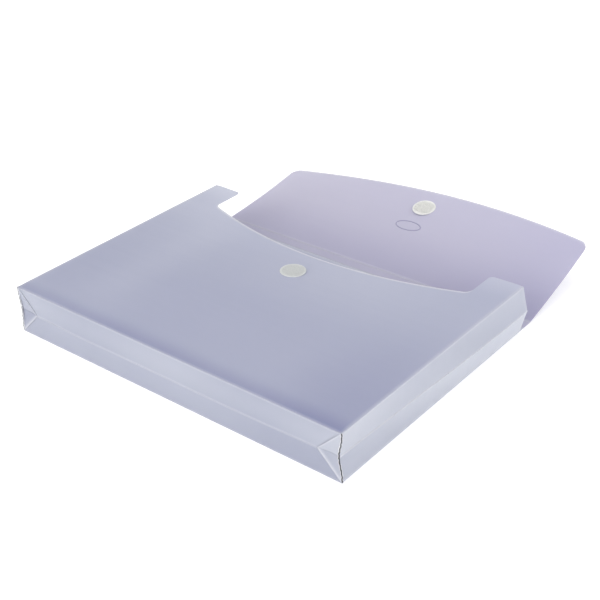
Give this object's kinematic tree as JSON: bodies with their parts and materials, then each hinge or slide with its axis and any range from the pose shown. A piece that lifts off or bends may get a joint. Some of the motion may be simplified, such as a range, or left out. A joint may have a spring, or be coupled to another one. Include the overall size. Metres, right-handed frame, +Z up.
{
  "type": "expanding document case",
  "caption": "Translucent flat document case with folding gussets, a thumb cut at the mouth and a rounded flap that closes on a hook-and-loop coin.",
  "frame": {"origin": "middle of the pocket's footprint, on the underside of the back panel", "axes": "+X along the closed edge, +Y from the closed edge to the mouth and flap, +Z up from the back panel to the front panel"},
  "size_m": [0.3305, 0.3735, 0.0436],
  "materials": {
    "frosted_sheet": "frosted translucent polypropylene with a fine grain",
    "hook_coin": "moulded nylon hooks",
    "loop_coin": "brushed nylon loops",
    "adhesive": "pressure-sensitive adhesive disc"
  },
  "bodies": {
    "back_panel": {"back_panel": "frosted_sheet"},
    "front_panel": {"front_panel": "frosted_sheet", "front_coin_adhesive": "adhesive", "front_hook_coin": "hook_coin"},
    "left_gusset_lower": {"left_gusset_lower": "frosted_sheet"},
    "left_gusset_upper": {"left_gusset_upper": "frosted_sheet"},
    "right_gusset_lower": {"right_gusset_lower": "frosted_sheet"},
    "right_gusset_upper": {"right_gusset_upper": "frosted_sheet"},
    "bottom_gusset_lower": {"bottom_gusset_lower": "frosted_sheet"},
    "bottom_gusset_upper": {"bottom_gusset_upper": "frosted_sheet"},
    "corner_web_left_lower": {"corner_web_left_lower": "frosted_sheet"},
    "corner_web_left_upper": {"corner_web_left_upper": "frosted_sheet"},
    "corner_web_right_lower": {"corner_web_right_lower": "frosted_sheet"},
    "corner_web_right_upper": {"corner_web_right_upper": "frosted_sheet"},
    "flap_spine": {"flap_spine": "frosted_sheet"},
    "flap_panel": {"flap_panel": "frosted_sheet", "flap_coin_adhesive": "adhesive", "flap_loop_coin": "loop_coin"}
  },
  "joints": [
    {"name": "gusset_fold", "type": "hinge", "parent": "back_panel", "child": "left_gusset_lower", "pos_m": [-0.1645, 0, 0.0005], "axis": [0, 1, 0], "range_deg": [0, 81.5]},
    {"name": "left_middle_crease", "type": "hinge", "parent": "left_gusset_lower", "child": "left_gusset_upper", "pos_m": [-0.165, 0, 0.021], "axis": [0, -1, 0], "range_deg": [0, 172]},
    {"name": "left_head_crease", "type": "hinge", "parent": "left_gusset_upper", "child": "front_panel", "pos_m": [-0.1645, 0, 0.0415], "axis": [0, 1, 0], "range_deg": [0, 88]},
    {"name": "right_foot_crease", "type": "hinge", "parent": "back_panel", "child": "right_gusset_lower", "pos_m": [0.1645, 0, 0.0005], "axis": [0, -1, 0], "range_deg": [0, 88]},
    {"name": "right_middle_crease", "type": "hinge", "parent": "right_gusset_lower", "child": "right_gusset_upper", "pos_m": [0.165, 0, 0.021], "axis": [0, 1, 0], "range_deg": [0, 172]},
    {"name": "bottom_foot_crease", "type": "hinge", "parent": "back_panel", "child": "bottom_gusset_lower", "pos_m": [0, -0.1205, 0.0005], "axis": [1, 0, 0], "range_deg": [0, 88]},
    {"name": "bottom_middle_crease", "type": "hinge", "parent": "bottom_gusset_lower", "child": "bottom_gusset_upper", "pos_m": [0, -0.12, 0.021], "axis": [-1, 0, 0], "range_deg": [0, 172]},
    {"name": "corner_crease_right_lower", "type": "hinge", "parent": "bottom_gusset_lower", "child": "corner_web_right_lower", "pos_m": [0.1645, -0.12, 0.0005], "axis": [-0.7071, 0, 0.7071], "range_deg": [0, 176], "deforming": ["corner_web_right_lower"]},
    {"name": "corner_crease_right_upper", "type": "hinge", "parent": "bottom_gusset_upper", "child": "corner_web_right_upper", "pos_m": [0.1645, -0.12, 0.0415], "axis": [0.7071, 0, 0.7071], "range_deg": [0, 176], "deforming": ["corner_web_right_upper"]},
    {"name": "corner_crease_left_lower", "type": "hinge", "parent": "bottom_gusset_lower", "child": "corner_web_left_lower", "pos_m": [-0.1645, -0.12, 0.0005], "axis": [-0.7071, 0, -0.7071], "range_deg": [0, 176], "deforming": ["corner_web_left_lower"]},
    {"name": "corner_crease_left_upper", "type": "hinge", "parent": "bottom_gusset_upper", "child": "corner_web_left_upper", "pos_m": [-0.1645, -0.12, 0.0415], "axis": [0.7071, 0, -0.7071], "range_deg": [0, 176], "deforming": ["corner_web_left_upper"]},
    {"name": "mouth_crease", "type": "hinge", "parent": "back_panel", "child": "flap_spine", "pos_m": [0, 0.126, 0.0005], "axis": [1, 0, 0], "range_deg": [0, 96]},
    {"name": "flap_fold", "type": "hinge", "parent": "flap_spine", "child": "flap_panel", "pos_m": [0, 0.137, 0.0005], "axis": [1, 0, 0], "range_deg": [-7.5, 77.5]}
  ],
  "couplings": [
    {"joint": "left_middle_crease", "follows": "gusset_fold", "ratio": 2},
    {"joint": "left_head_crease", "follows": "gusset_fold", "ratio": 1},
    {"joint": "right_foot_crease", "follows": "gusset_fold", "ratio": 1},
    {"joint": "right_middle_crease", "follows": "gusset_fold", "ratio": 2},
    {"joint": "bottom_foot_crease", "follows": "gusset_fold", "ratio": 1},
    {"joint": "bottom_middle_crease", "follows": "gusset_fold", "ratio": 2},
    {"joint": "mouth_crease", "follows": "gusset_fold", "ratio": 1.104},
    {"joint": "corner_crease_right_lower", "follows": "gusset_fold", "ratio": 2.0626},
    {"joint": "corner_crease_right_upper", "follows": "gusset_fold", "ratio": 2.0626},
    {"joint": "corner_crease_left_lower", "follows": "gusset_fold", "ratio": 2.0626},
    {"joint": "corner_crease_left_upper", "follows": "gusset_fold", "ratio": 2.0626}
  ]
}
